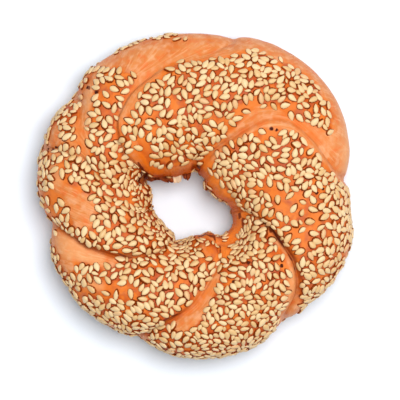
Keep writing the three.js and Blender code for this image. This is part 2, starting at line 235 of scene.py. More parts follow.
# Charred lines, and painted shadow lines along the folds beneath overlapping strands.
CHAR_AND_FOLD_SHADOW = {
    "foot fold": [(-27.6, -20.6, 0.1), (-23, -22, 0.25), (-18.8, -21.6, 0.1)],
    "neck top": [(15.3, -4.9, 0.3), (19.4, -5.9, 0.2)],
    "neck mark": [(15.4, -7, 0.5), (15.7, -8.2, 0.5)],
    "neck blister": [(17.2, -9.2, 0.5), (17.5, -11, 0.4)],
    "knuckle rim": [(0.8, -14.9, 0.1), (4.4, -13.6, 0.25), (7.6, -13.6, 0.3), (9.6, -15.4, 0.2)],
    "knuckle fold": [(10.5, -16.2, 0.2), (9.8, -20.4, 0.2)],
    "east start": [(25.4, -9.9, 0.5), (27, -12.7, 0.7)],
    "east fold": [(27.5, -12.4, 0.5), (32.6, -18.2, 0.15), (36.2, -23.8, 0.25), (38.2, -29.8, 0.1)],
    "crown foot": [(-19.6, 11.6, 0.2), (-18, 8.6, 0.5), (-15.6, 6.6, 0.6)],
    "south end": [(-12.4, -46, 0.2), (-8, -44.2, 0.4), (-4.4, -42.6, 0.2)],
}
REDDENED = {
    "tail end": [(-18.6, 9.6, 1.2), (-16.2, 4, 2), (-15.2, -2, 1.6), (-13, -8, 0.4)],
    "neck top": [(17.4, -4.6, 0.6), (20.4, -6.8, 0.8)],
}
# Scorched spots: a point and its half width.
SCORCHED = [
    (-34.9, 37.5, 0.7), (20, -24, 0.8), (14.5, -30.9, 0.6), (32, -25.2, 0.8), (-9.4, -33.4, 0.5),
    (28.4, 24.2, 0.7), (30.2, 23.8, 0.6), (44.7, 1.1, 0.7), (47, 2.5, 0.6), (-15.6, 0.7, 1.1),
    (-17.1, 6.5, 1.1), (-52.4, 16.9, 0.8), (-49.5, 17.6, 0.6), (-10.2, 4.9, 1.1), (-38.2, 39.3, 0.7),
]
# Where a strand's end sinks towards the hole: the middle, the half width, and the share of its height.
SINKS = [(-19.5, 4.0, 9.0, 0.26), (14.5, -13.0, 6.0, 0.4), (-14.0, -7.0, 6.0, 0.12)]
LONG_SEAMS = ["crown", "north", "east", "south", "foot", "west"]
# The strand clockwise of each long seam: its outward swell, its belly into the hole, its crest's
# height, and how many columns of quads run along it.
STRANDS = [
    dict(swell=6.6, belly=4.8, crest=37.0, columns=116),
    dict(swell=4.2, belly=4.1, crest=35.5, columns=98),
    dict(swell=2.8, belly=-0.4, crest=34.5, columns=92),
    dict(swell=1.1, belly=4.1, crest=33.0, columns=88),
    dict(swell=1.2, belly=2.6, crest=32.0, columns=80),
    dict(swell=2.1, belly=1.5, crest=33.0, columns=104),
]
# Uneven places in the outer edge and in the hole's: the angle, how wide it is in degrees, how far out.
OUTER_BULGES = [
    (-158, 10, 1.3), (-138, 8, 0.8), (-102, 6, -0.7), (-62, 14, 0.5), (-38, 5, -0.9), (0, 7, -1.3),
    (71, 12, 0.9), (137, 8, -2.3),
]
INNER_BULGES = [
    (-177, 6, -1.1), (-135, 10, 0.5), (-103, 7, 0.7), (-92, 12, 1.5), (-50, 9, -2.1), (-43, 4, -1.1),
    (-20, 10, 1.2), (5, 8, 1.6), (33, 9, 0.4), (59, 5, 1.0), (67, 8, 1.2), (100, 18, 1.9),
    (128, 14, 1.9), (141, 6, 1.2),
]
TOP_ROWS, UNDER_ROWS = 118, 46
GATHERED = 0.3  # how much closer the columns stand beside a seam
ROUTE_STEPS, ROUTE_SMOOTHINGS = 161, 60
EDGE_DEPTH, SOLE_DEPTH = 0.28, 0.22  # a valley's depth at the rope's sides and under it, as a share
THIN_RING, THIN_ROPE = 38, 3.5  # a ring so thin that marks of even size on it run along the strands
BARE_FROM, PATCHES_FROM = 5, 8  # the heights above which the bare bands and the patches show
WALL_TOP, SOLE_TOP = 25, 2.5  # how far up the hole's wall is dark, and the tray's brown reaches


def in_plan(angle, radius):
    return HOLE_MIDDLE + np.stack([radius * np.cos(angle), radius * np.sin(angle)], axis=-1)


def edge_radius(end, bows, roundness, bulges):
    """The radius, at any angle, of an edge that runs from corner to corner and bows between them."""
    corners = np.array([SEAMS[name]["over"][end] for name in LONG_SEAMS], float)
    first = math.radians(corners[0, 0])
    gone_at = np.append(np.mod(first - np.radians(corners[:, 0]), TAU), TAU)
    radii = np.append(corners[:, 1], corners[0, 1])

    def radius(angle):
        gone = np.mod(first - angle, TAU)
        here = np.clip(np.searchsorted(gone_at, gone, side="right") - 1, 0, len(bows) - 1)
        share = (gone - gone_at[here]) / (gone_at[here + 1] - gone_at[here])
        bow = np.asarray(bows)[here] * np.sin(math.pi * np.clip(share, 0, 1)) ** roundness
        for at, wide, out in bulges:
            off = np.mod(angle - math.radians(at) + math.pi, TAU) - math.pi
            bow = bow + out * np.exp(-(off / math.radians(wide)) ** 2)
        return radii[here] + (radii[here + 1] - radii[here]) * share + bow

    return radius


outer_edge = edge_radius(-1, [s["swell"] for s in STRANDS], OUTER_ROUNDNESS, OUTER_BULGES)
inner_edge = edge_radius(0, [-s["belly"] for s in STRANDS], INNER_ROUNDNESS, INNER_BULGES)


def rope_surface(angle, turn, crest):
    """Points of the smooth rope. turn is 0 at the outer edge, a quarter on top, half in the hole."""
    outer, inner = outer_edge(angle), inner_edge(angle)
    top = np.sin(turn) >= 0
    sharp = np.where(top, SIDE_SHARPNESS, UNDER_SHARPNESS)
    across = (outer - inner) / 2 * np.sign(np.cos(turn)) * np.abs(np.cos(turn)) ** sharp
    tall = np.where(top, crest - WIDEST_AT, WIDEST_AT + SOLE_CUT)
    height = WIDEST_AT + tall * np.sign(np.sin(turn)) * np.abs(np.sin(turn)) ** sharp
    return np.concatenate([in_plan(angle, (outer + inner) / 2 + across), height[..., None]], axis=-1)


def seam_route(name):
    """A seam's angles and its turns over the rope, at even steps along it, its corners rounded."""
    angle, radius = np.array(SEAMS[name]["over"], float).T
    knots = in_plan(np.radians(angle), radius)
    gone = np.append(0, np.cumsum(np.linalg.norm(np.diff(knots, axis=0), axis=1)))
    steps = np.linspace(0, gone[-1], ROUTE_STEPS)
    line = np.stack([np.interp(steps, gone, knots[:, i]) for i in (0, 1)], axis=1) - HOLE_MIDDLE
    for _ in range(ROUTE_SMOOTHINGS):
        line[1:-1] = (line[:-2] + 2 * line[1:-1] + line[2:]) / 4
    angles = np.unwrap(np.arctan2(line[:, 1], line[:, 0]))
    angles += TAU * round((math.radians(angle[0]) - angles[0]) / TAU)
    outer, inner = outer_edge(angles), inner_edge(angles)
    share = np.clip((2 * np.linalg.norm(line, axis=1) - outer - inner) / (outer - inner), -1, 1)
    return angles, np.arccos(np.sign(share) * np.abs(share) ** (1 / SIDE_SHARPNESS))


routes = {name: seam_route(name) for name in SEAMS}


def seam_angle(number, turn):
    """Where the numbered long seam stands at each turn; under the sole it goes straight back."""
    angle, at_turn = routes[LONG_SEAMS[number % 6]]
    top = np.interp(turn, at_turn[::-1], angle[::-1])
    back = np.clip((turn - math.pi) / math.pi, 0, 1)
    beneath = angle[0] + (angle[-1] - angle[0]) * back * back * (3 - 2 * back)
    return np.where(turn > math.pi, beneath, top) - TAU * (number // 6)


# The smooth rope: columns that follow the seams, closer together beside them, and rows across.
places, angles = [], []
turns = np.concatenate([
    np.linspace(0, math.pi, TOP_ROWS, endpoint=False),
    np.linspace(math.pi, TAU, UNDER_ROWS, endpoint=False),
])
for number, strand in enumerate(STRANDS):
    share = np.arange(strand["columns"]) / strand["columns"]
    share = share - GATHERED * np.sin(TAU * share) / TAU
    left, right = seam_angle(number, turns), seam_angle(number + 1, turns)
    angles.append(left + (right - left) * share[:, None])
    places.append(number + share)
places, angles = np.concatenate(places), np.concatenate(angles)
crests = np.interp(places, np.arange(-1, 8) - 0.5, [STRANDS[(i - 1) % 6]["crest"] for i in range(-1, 8)])
rope = rope_surface(angles, np.broadcast_to(turns, angles.shape), crests[:, None] + 0 * angles)
for x, y, half_width, share in SINKS:
    near = np.exp(-((rope[..., 0] - x) ** 2 + (rope[..., 1] - y) ** 2) / half_width ** 2)
    rope[..., 2] -= share * near * (rope[..., 2] - WIDEST_AT).clip(0)
index = np.arange(angles.size).reshape(angles.shape)
row_on, column_on = np.roll(index, -1, 1), np.roll(index, -1, 0)
quads = np.stack([index, row_on, np.roll(row_on, -1, 0), column_on], -1)


def inside(points, patches):
    """How far inside the nearest of the tapering patches each point lies in plan; outside is negative."""
    depth = np.full(len(points), -99.0)
    for path in patches.values():
        path = np.array(path, float)
        for start, end in zip(path, path[1:]):
            way = end[:2] - start[:2]
            share = (((points[:, :2] - start[:2]) @ way) / (way @ way)).clip(0, 1)[:, None]
            off = np.linalg.norm(points[:, :2] - start[:2] - way * share, axis=1)
            depth = np.maximum(depth, start[2] + (end[2] - start[2]) * share[:, 0] - off)
    return depth


def mesh_object(name, points, faces=(), edges=()):
    """A mesh object at the origin, its points given in millimetres."""
    mesh = bpy.data.meshes.new(name)
    faces = [[int(corner) for corner in face] for face in faces]
    mesh.from_pydata((np.asarray(points) * MM).tolist(), edges, faces)
    made = bpy.data.objects.new(name, mesh)
    bpy.context.scene.collection.objects.link(made)
    return made


def give(made, name, values, kind="FLOAT"):
    """Stores a value, or a vector, for each point of a mesh."""
    field = made.data.attributes.new(name, kind, "POINT")
    number = np.int32 if kind == "INT" else np.float32
    key = "vector" if kind == "FLOAT_VECTOR" else "value"
    field.data.foreach_set(key, np.ascontiguousarray(values, number).ravel())


points = rope.reshape(-1, 3)
dough = mesh_object("dough", points, quads.reshape(-1, 4))
upward = np.broadcast_to(np.sin(turns), angles.shape)
furthest = np.where(upward > 0, 1, SOLE_DEPTH)
give(dough, "reach", EDGE_DEPTH + (furthest - EDGE_DEPTH) * np.abs(upward) ** 0.7)
# flow: each point's place on the thin ring.
ring_angle = (TAU * places / 6)[:, None]
ring_radius = THIN_RING + THIN_ROPE * np.cos(turns)
ring_height = THIN_ROPE * np.sin(turns) + 0 * angles
flow = np.stack([ring_radius * np.cos(ring_angle), ring_radius * np.sin(ring_angle), ring_height], -1)
give(dough, "flow", flow, "FLOAT_VECTOR")
top_side = ((points[:, 2] - BARE_FROM) / 4).clip(0, 1)
give(dough, "open", inside(points, BARE).clip(-3, 3) * top_side - 3 * (1 - top_side))
# Darker down the wall of the hole and in the listed patches: deeper bake, and painted shade where the wall
# and the folds turn from the lamp.
hole_side = (turns > math.pi / 2) * (2.8 - 2 * turns / math.pi).clip(0, 1)
wall = ((WALL_TOP - rope[..., 2]) / 16).clip(0, 1) * hole_side
give(dough, "dark_bake_and_shade", np.maximum(wall.ravel(), ((inside(points, DARK_BAKE_AND_SHADE) + 1) / 4.5).clip(0, 1)))
in_sight = points[:, 2] > PATCHES_FROM
for key, patches in (("painted_bounce_light", PAINTED_BOUNCE_LIGHT), ("pale", PAINTED_LIGHT), ("reddened", REDDENED)):
    give(dough, key, ((inside(points, patches) + 1) / 2).clip(0, 1) * in_sight)
# charred lines and painted shadow lines along the folds, with the scorched spots
char_and_fold_shadow = (inside(points, CHAR_AND_FOLD_SHADOW) / 0.7 + 0.9).clip(0, 1.2)
burns = [(2 - np.hypot(points[:, 0] - x, points[:, 1] - y) / r).clip(0, 1.6) for x, y, r in SCORCHED]
give(dough, "scorch_and_fold_shadow", np.max([char_and_fold_shadow, *burns], axis=0) * in_sight)
give(dough, "sole", ((SOLE_TOP - points[:, 2]) / 3).clip(0, 1))

# The seams as lines on the rope, with their values at every point. The long ones go on across the
# sole, where they come up two strands further on.
PROFILE = ["depth", "fold", "lap", "before", "after"]
KINDS = {"side": "FLOAT_VECTOR", "number": "INT"}
UNDER_STEPS = 120
line_points, line_edges = [], []
line_values = {key: [] for key in [*PROFILE, "bare_before", "bare_after", *KINDS]}
for number, (name, seam) in enumerate(SEAMS.items()):
    angle, turn = routes[name]
    along = np.linspace(0, 1, len(angle))
    if name in LONG_SEAMS:
        end = routes[LONG_SEAMS[(number + 2) % 6]][0][0] - TAU * ((number + 2) // 6)
        share = np.linspace(0, 1, UNDER_STEPS)[1:]
        angle = np.append(angle, angle[-1] + (end - angle[-1]) * share)
        turn = np.append(turn, -math.pi * share)
        along = np.append(along, np.ones(len(share)))
    crest = np.full(len(angle), STRANDS[number % 6]["crest"])
    line = rope_surface(angle, turn, crest)
    step = 1e-3
    outward = np.cross(
        rope_surface(angle, turn + step, crest) - rope_surface(angle, turn - step, crest),
        rope_surface(angle - step, turn, crest) - rope_surface(angle + step, turn, crest),
    )
    side = np.cross(np.gradient(line, axis=0), outward)
    side /= np.linalg.norm(side, axis=1, keepdims=True)
    start = sum(len(p) for p in line_points)
    line_points.append(line)
    line_edges += [(start + i, start + i + 1) for i in range(len(line) - 1)]
    line_values["side"].append(side)
    line_values["number"].append(np.full(len(line), number))
    for key in PROFILE:
        line_values[key].append(np.interp(along, np.linspace(0, 1, len(seam[key])), seam[key]))
    down = np.clip(1.3 + turn, 0, 1) * (turn < 0.3)
    for key, width in zip(("bare_before", "bare_after"), seam["bare"]):
        line_values[key].append(width * down)
seam_lines = mesh_object("seam_lines", np.concatenate(line_points), edges=line_edges)
for key, values in line_values.items():
    give(seam_lines, key, np.concatenate(values), KINDS.get(key, "FLOAT"))


class Wire:
    """An output of a node, so that maths on it is written as an expression."""

    def __init__(self, recipe, socket):
        self.recipe, self.socket = recipe, socket

    def maths(self, operation, *values):
        return self.recipe.node("ShaderNodeMath", {"operation": operation}, dict(enumerate((self, *values))))

    def __add__(self, other):
        return self.maths("ADD", other)

    def __sub__(self, other):
        return self.maths("SUBTRACT", other)

    def __rsub__(self, other):
        return (self * -1.0) + other

    def __mul__(self, other):
        return self.maths("MULTIPLY", other)

    def __truediv__(self, other):
        return self.maths("DIVIDE", other)

    def __pow__(self, other):
        return self.maths("POWER", other)

    __radd__, __rmul__ = __add__, __mul__

    def limit(self, low=0.0, high=1.0):
        return self.maths("MAXIMUM", low).maths("MINIMUM", high)

    def above(self, level, steepness):
        """0 up to a level, then climbing to 1."""
        return ((self - level) * steepness).limit()

    def below(self, level, steepness):
        """0 down to a level, then climbing to 1 as the value falls."""
        return ((level - self) * steepness).limit()

    def out(self, name):
        """Another output of the same node."""
        return Wire(self.recipe, self.recipe.socket(self.socket.node.outputs, name))


class Recipe:
    """A node tree, of a material, of the world or of geometry, built node by node."""

    def __init__(self, tree):
        self.tree = tree

    @staticmethod
    def socket(sockets, name):
        if isinstance(name, int):
            return sockets[name]
        return next(s for s in sockets if s.name == name and s.enabled)

    def node(self, kind, settings=None, sockets=None, output=0):
        made = self.tree.nodes.new(kind)
        for name, value in (settings or {}).items():
            setattr(made, name, value)
        for name, value in (sockets or {}).items():
            place = self.socket(made.inputs, name)
            if isinstance(value, Wire):
                self.tree.links.new(value.socket, place)
            else:
                place.default_value = value
        if not made.outputs:
            return made
        outputs = [s for s in made.outputs if s.enabled]
        return Wire(self, outputs[output] if isinstance(output, int) else self.socket(made.outputs, output))

    def place(self):
        return self.node("GeometryNodeInputPosition")

    def noise(self, scale, detail=2.0, where=None, roughness=0.5):
        """A slow random value round 0.5."""
        return self.node("ShaderNodeTexNoise", {}, {
            "Vector": where or self.place(), "Scale": scale, "Detail": detail, "Roughness": roughness})

    def named(self, name, kind="FLOAT"):
        """A stored value of the mesh, in a geometry tree."""
        return self.node("GeometryNodeInputNamedAttribute", {"data_type": kind}, {"Name": name})

    def keep(self, geometry, **values):
        """The geometry with these values stored at its points."""
        per_point = {"data_type": "FLOAT", "domain": "POINT"}
        for name, value in values.items():
            geometry = self.node("GeometryNodeStoreNamedAttribute", per_point, {
                "Geometry": geometry, "Name": name, "Value": value})
        return geometry

    def moved_out(self, geometry, distance):
        """The geometry with its points moved along their normals."""
        return self.node("GeometryNodeSetPosition", {}, {
            "Geometry": geometry,
            "Offset": self.node("ShaderNodeVectorMath", {"operation": "SCALE"}, {
                0: self.node("GeometryNodeInputNormal"), "Scale": distance})})

    def end(self, name, geometry, material):
        """The tree's one output: plain faces, smooth and of one material."""
        smooth = self.node("GeometryNodeSetShadeSmooth", {}, {0: geometry, "Shade Smooth": True})
        real = self.node("GeometryNodeRealizeInstances", {}, {"Geometry": smooth})
        self.node("NodeGroupOutput", {}, {
            name: self.node("GeometryNodeSetMaterial", {}, {"Geometry": real, "Material": material})})


def geometry_recipe(name, inputs, outputs):
    """A geometry tree with named inputs, each a size or a kind of socket, and named outputs."""
    tree = bpy.data.node_groups.new(name, "GeometryNodeTree")
    for label, value in inputs.items():
        kind = value if isinstance(value, str) else "Float"
        socket = tree.interface.new_socket(label, in_out="INPUT", socket_type="NodeSocket" + kind)
        if kind == "Float":
            socket.default_value = value
    for label, kind in outputs.items():
        tree.interface.new_socket(label, in_out="OUTPUT", socket_type="NodeSocket" + kind)
    recipe = Recipe(tree)
    given = recipe.node("NodeGroupInput")
    return recipe, {label: given.out(label) for label in inputs}


def shaped(made, recipe, values, name):
    """The plain mesh that a geometry tree makes of an object, in place of that object."""
    modifier = made.modifiers.new(recipe.tree.name, "NODES")
    modifier.node_group = recipe.tree
    sockets = {s.name: s.identifier for s in recipe.tree.interface.items_tree if s.in_out == "INPUT"}
    for label, value in values.items():
        modifier[sockets[label]] = value
    evaluated = made.evaluated_get(bpy.context.evaluated_depsgraph_get())
    mesh = bpy.data.meshes.new_from_object(evaluated)
    bpy.data.objects.remove(made)
    mesh.name = name
    result = bpy.data.objects.new(name, mesh)
    bpy.context.scene.collection.objects.link(result)
    return result


# One seam's press on the rope, at every point: how deep, how far lapped, how far within the bare
# band, how creased.
PROVING = {"Fold width": 0.85, "Swelling": 1.1, "Puckers": 0.3, "Crust": 0.35}
press, given = geometry_recipe(
    "press_one_seam",
    {"Lines": "Geometry", "Number": "Int", "Fold width": PROVING["Fold width"]},
    {"Valley": "Float", "Lap": "Float", "Open": "Float", "Crease": "Float"},
)
mine = press.node("FunctionNodeCompare", {"data_type": "INT", "operation": "EQUAL"}, {
    "A": press.named("number", "INT"), "B": given["Number"]})
line = press.node("GeometryNodeSeparateGeometry", {"domain": "POINT"}, {
    "Geometry": given["Lines"], "Selection": mine})
near = press.node("GeometryNodeProximity", {"target_element": "EDGES"}, {"Geometry": line})
nearest = press.node("GeometryNodeSampleNearest", {"domain": "POINT"}, {"Geometry": line})


def on_line(key, kind="FLOAT"):
    return press.node("GeometryNodeSampleIndex", {"data_type": kind, "domain": "POINT"}, {
        "Geometry": line, "Value": press.named(key, kind), "Index": nearest})


offset = press.node("ShaderNodeVectorMath", {"operation": "SUBTRACT"}, {
    0: press.place(), 1: near.out("Position")})
beside = press.node("ShaderNodeVectorMath", {"operation": "DOT_PRODUCT"}, {
    0: offset, 1: on_line("side", "FLOAT_VECTOR")}, "Value") / MM
away = near.out("Distance") / MM
depth, folded, overlap, reach = on_line("depth"), on_line("fold"), on_line("lap"), press.named("reach")
# clockwise: 0 on the strand before the seam, 1 on the one after. It changes fast where one laps over.
crisp = (3.2 - overlap.maths("ABSOLUTE") * 2.4).limit(0.8, 3.2)
clockwise = (beside / crisp).maths("TANH") * 0.5 + 0.5
closeness = (1 - away / (on_line("before") * (1 - clockwise) + on_line("after") * clockwise)).limit()
# The valley's side is a soft slope, or a round shoulder where the strand on that side laps over.
steep = (overlap * (clockwise * 2 - 1) * 0.32 + 0.68).limit(0.0, 0.97)
shoulder = closeness ** 2 * (1 - steep) + (1 - (1 - closeness ** 2).maths("SQRT")) * steep
fold = ((away / given["Fold width"]) ** 2 * -1.0).maths("EXPONENT")
band = on_line("bare_before") * (1 - clockwise) + on_line("bare_after") * clockwise
press.node("NodeGroupOutput", {}, {
    "Valley": depth * reach * (shoulder * (1 - folded) + fold * folded),
    "Lap": overlap * reach * (clockwise * 2 - 1) * closeness ** 2,
    "Open": band - away,
    "Crease": fold * folded * (depth / 6.0) * reach})

# The whole rope: every seam pressed in where it is nearest, the valleys blended where they meet,
# then the uneven swelling of the crust, and the flat of the tray.
BLEND = 4  # the power at which valleys that meet are summed
proving, given = geometry_recipe(
    "press_and_prove", {"Rope": "Geometry", "Seam lines": "Object", **PROVING}, {"Dough": "Geometry"})
lines = proving.node("GeometryNodeObjectInfo", {}, {"Object": given["Seam lines"]}, "Geometry")
valleys, laps, creases, opened = 0.0, 0.0, 0.0, proving.named("open")
for number in range(len(SEAMS)):
    valley = proving.node("GeometryNodeGroup", {"node_tree": press.tree}, {
        "Lines": lines, "Number": number, "Fold width": given["Fold width"]}, "Valley")
    valleys = valley.limit(0.0, 20.0) ** BLEND + valleys
    laps = valley.out("Lap") + laps
    opened = opened.maths("MAXIMUM", valley.out("Open"))
    creases = valley.out("Crease").maths("MAXIMUM", creases)
valleys = valleys ** (1 / BLEND)
swelling, puckers = proving.noise(70.0, 1.0) - 0.5, proving.noise(330.0) - 0.5
rise = laps - valleys + swelling * given["Swelling"] + puckers * given["Puckers"] - given["Crust"]
pressed = proving.moved_out(
    proving.keep(given["Rope"], open=opened.limit(-3.0, 3.0), crease=creases, valley=valleys), rise * MM)
apart = proving.node("ShaderNodeSeparateXYZ", {}, {0: proving.place()})
above_tray = proving.node("ShaderNodeCombineXYZ", {}, {
    "X": apart.out("X"), "Y": apart.out("Y"), "Z": apart.out("Z").maths("MAXIMUM", 0.0)})
rested = proving.node("GeometryNodeSetPosition", {}, {"Geometry": pressed, "Position": above_tray})
crust = bpy.data.materials.new("crust")
proving.end("Dough", rested, crust)
dough = shaped(dough, proving, {"Seam lines": seam_lines, **PROVING}, "dough")
bpy.data.objects.remove(seam_lines)


def linear(colour):
    """A colour given as on a screen, 0 to 255, as Blender's shaders want it."""
    shares = [part / 255 for part in colour]
    return (*(((c + 0.055) / 1.055) ** 2.4 if c > 0.04 else c / 12.92 for c in shares), 1)


class Finish(Recipe):
    """The nodes of a material, or of the world, started afresh. Colours are given as on a screen."""

    def __init__(self, owner):
        owner.use_nodes = True
        owner.node_tree.nodes.clear()
        super().__init__(owner.node_tree)

    def mark(self, name):
        """A value stored at the mesh's points."""
        return self.node("ShaderNodeAttribute", {"attribute_name": name}, {}, "Fac")

    def place(self):
        return self.node("ShaderNodeTexCoord", output="Object")

    def mix(self, share, first, second):
        """Two colours mixed: first where share is 0, second where it is 1."""
        first, second = (c if isinstance(c, Wire) else linear(c) for c in (first, second))
        return self.node("ShaderNodeMix", {"data_type": "RGBA"}, {
            "Factor": share, "A": first, "B": second}, "Result")

    def coats(self, tone, *coats):
        """A colour with others laid over it in turn, each with its share."""
        for share, colour in coats:
            tone = self.mix(share, tone, colour)
        return tone

    def bump(self, height, strength, distance):
        return self.node("ShaderNodeBump", {}, {"Height": height, "Strength": strength, "Distance": distance})

    def surface(self, sockets):
        shader = self.node("ShaderNodeBsdfPrincipled", {}, sockets)
        self.node("ShaderNodeOutputMaterial", {}, {"Surface": shader})


# The crust's finish: brown between the seeds, paler where it was stretched, with painted shade in the
# creases, valleys and hole, and painted light on some shaded places.
paint = Finish(crust)
opened, crease, valley, dark_bake_and_shade, painted_bounce_light, pale, reddened, scorch_and_fold_shadow, syrup_and_shade_near_seeds, sole = map(paint.mark, (
    "open", "crease", "valley", "dark_bake_and_shade", "painted_bounce_light", "pale", "reddened", "scorch_and_fold_shadow", "syrup_and_shade_near_seeds", "sole"))
flow = paint.node("ShaderNodeAttribute", {"attribute_name": "flow"}, {}, "Vector")
streaks = paint.noise(0.6, 5.0, flow, 0.6)
broad = paint.noise(0.16, 2.0, flow)
fibres = paint.noise(1.3, 3.0, flow, 0.65)
mottle = paint.noise(120.0, 3.0)
blotch = paint.noise(330.0, 2.0)
fine = paint.noise(900.0, 2.0)
bare = (opened * 0.7 + (mottle - 0.5) * 5.0 + 0.5).limit()
# the crust darker where the seeds lie close: pooled syrup, and painted shade between the seeds
syrup_and_seed_shade = ((syrup_and_shade_near_seeds - 0.5) * 0.9 + (blotch - 0.5) * 3.6 + 0.5).limit()
burnt_and_fold_shadow = (scorch_and_fold_shadow + (blotch - 0.5) * 1.8).above(0.75, 3.0) * (scorch_and_fold_shadow * 4.0).limit()
tone = paint.coats(
    paint.mix(syrup_and_seed_shade, (222, 116, 42), (174, 60, 4)),
    (bare, (216, 129, 68)),
    # light and dark streaks drawn along the strands
    (streaks.above(0.52, 4) * (bare * 0.22 + 0.15), (234, 166, 108)),
    (streaks.below(0.48, 4) * (bare * 0.2 + 0.2), (212, 96, 24)),
    # syrup pooled, and painted shade between the seeds, where the seeds lie close
    (syrup_and_shade_near_seeds.above(0.55, 2.5) * mottle.above(0.44, 6) * 0.5, (150, 44, 6)),
    # the uneven bake: broad pale stretches, then pale and red blotches, then brown ones
    (broad.above(0.5, 4) * (bare * 0.4 + 0.15), (230, 154, 104)),
    (blotch.above(0.51, 6) * (bare * 0.55 + 0.15), (228, 160, 114)),
    (blotch.below(0.48, 6) * bare * 0.75, (224, 112, 52)),
    (mottle.below(0.46, 5) * 0.5, (202, 90, 18)),
    # painted light: the listed places painted paler
    (pale * 0.5, (236, 168, 112)),
    # the stretched dough's own fibres
    (fibres.above(0.53, 8) * bare * 0.35, (240, 182, 134)),
    # deeper bake and painted shade in the hole and the listed patches, painted shade in the valleys and
    # folds, painted bounce light, and the syrup's red
    (dark_bake_and_shade * 0.94, paint.mix(bare, (188, 72, 4), (226, 106, 10))),
    # painted shade in the deepest valleys
    (valley.above(3.2, 0.25) * 0.35, (196, 86, 10)),
    # painted bounce light on the sides turned from the lamp
    (painted_bounce_light * ((mottle - 0.5) * 1.6 + 0.7).limit(), (246, 130, 40)),
    (reddened * ((blotch - 0.45) * 5.0).limit(0.2) * 0.7, (140, 38, 18)),
    # painted shade in the sharp folds
    ((crease * 2.0).limit() * 0.9, (124, 44, 0)),
    # the tray's brown under it, the burns, and painted shadow lines along the folds
    ((sole * 2.0 - 0.2).limit() * 0.85, paint.mix(blotch.above(0.42, 5), (170, 92, 36), (206, 132, 72))),
    (burnt_and_fold_shadow * 0.85, (104, 30, 12)),
)
paint.surface({
    "Base Color": tone, "Roughness": (0.5 - bare * 0.06 + dark_bake_and_shade * 0.2 + (fine - 0.5) * 0.1).limit(),
    "Normal": paint.bump(streaks * (bare + 0.25) + mottle * 0.5 + fine * 0.15, 0.6, 0.0007),
    "Coat Weight": (1 - dark_bake_and_shade) * 0.03, "Coat Roughness": 0.35, "Specular IOR Level": 0.07})
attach(dough, "root")
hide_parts("simit")

# ------------------------------------------------------------------ the sesame
# Hulled sesame, flat cream teardrops about 3.5 mm long, stuck to the syrup while the dough was raw
# and toasted on. They lie nearly side by side on the strands and leave the stretched bands bare.
SEED = {"Length": 2.98, "Width": 1.76, "Thickness": 0.84, "Taper": 0.3, "Dents": 0.26}
SEED_SEGMENTS, SEED_RINGS = 8, 6
LIFT = 0.22  # how far a seed's middle stands over the dough
SEEDS_THROWN, TURNS_TRIED = 60000, 7
CIRCLES, CIRCLE_SIZES, CIRCLE_STEP = (-1.05, 0, 1), (0.9, 1.05, 0.8), 0.26  # along a seed, for its room
SPACING = 0.74  # the least distance of two seeds, as a share of their half widths together
BAND_GAP, BAND_RAGGED = 0.9, 0.5  # how far the seeds keep off a bare band, and how unevenly
BURN_GAP = 0.9
SIDE = 0.5  # a face whose normal rises less than this is on the rope's side
LOWEST_SEED = 1.2
# Where the seeds are somewhat smaller, and where they are much smaller.
SMALLER = {"south strand": [(14, -18, 8), (24, -32, 12), (8, -50, 10)]}
SMALLEST = {
    "tail end": [(-22, 9, 3.2), (-19.6, 2.6, 4.2), (-17.6, -6, 3.8), (-12.6, -13, 2.6)],
    "knuckle": [(-4, -19, 2.2), (2, -18.6, 2.4), (8.6, -18.4, 2.6)],
    "foot": [(-12, -20.6, 2.2), (-22, -24.4, 1.6)],
    "neck": [(17.6, -14, 1.6), (19.6, -6.6, 1.8)],
}
CELL = 4  # side of the cubes in which seeds look for their neighbours
rng = np.random.default_rng(5)


def mesh_array(collection, name, width, kind=np.float32):
    values = np.empty(len(collection) * width, kind)
    collection.foreach_get(name, values)
    return values.reshape(-1, width)


grain = {
    "at": mesh_array(dough.data.vertices, "co", 3) / MM,
    "facing": mesh_array(dough.data.vertex_normals, "vector", 3),
    **{key: mesh_array(dough.data.attributes[key].data, "value", 1) for key in ("open", "crease", "valley")},
}
corners = mesh_array(dough.data.loops, "vertex_index", 1, np.int32).reshape(-1, 4)
square = grain["at"][corners]
area = np.linalg.norm(np.cross(square[:, 2] - square[:, 0], square[:, 3] - square[:, 1]), axis=1) / 2


def spots(count):
    """Random places on the dough, evenly by area: their point, their facing and their other values."""
    chosen = corners[rng.choice(len(corners), count, p=area / area.sum())]
    u, v = rng.random((2, count, 1))
    return {
        key: (values[chosen[:, 0]] * (1 - u) + values[chosen[:, 1]] * u) * (1 - v)
        + (values[chosen[:, 3]] * (1 - u) + values[chosen[:, 2]] * u) * v
        for key, values in grain.items()
    }


def unit(vectors):
    return vectors / np.linalg.norm(vectors, axis=-1, keepdims=True)


def crowding(points, size):
    """A slow random value at each point, about -1 to 1."""
    return np.array([mathutils.noise.noise(point / size) for point in points])


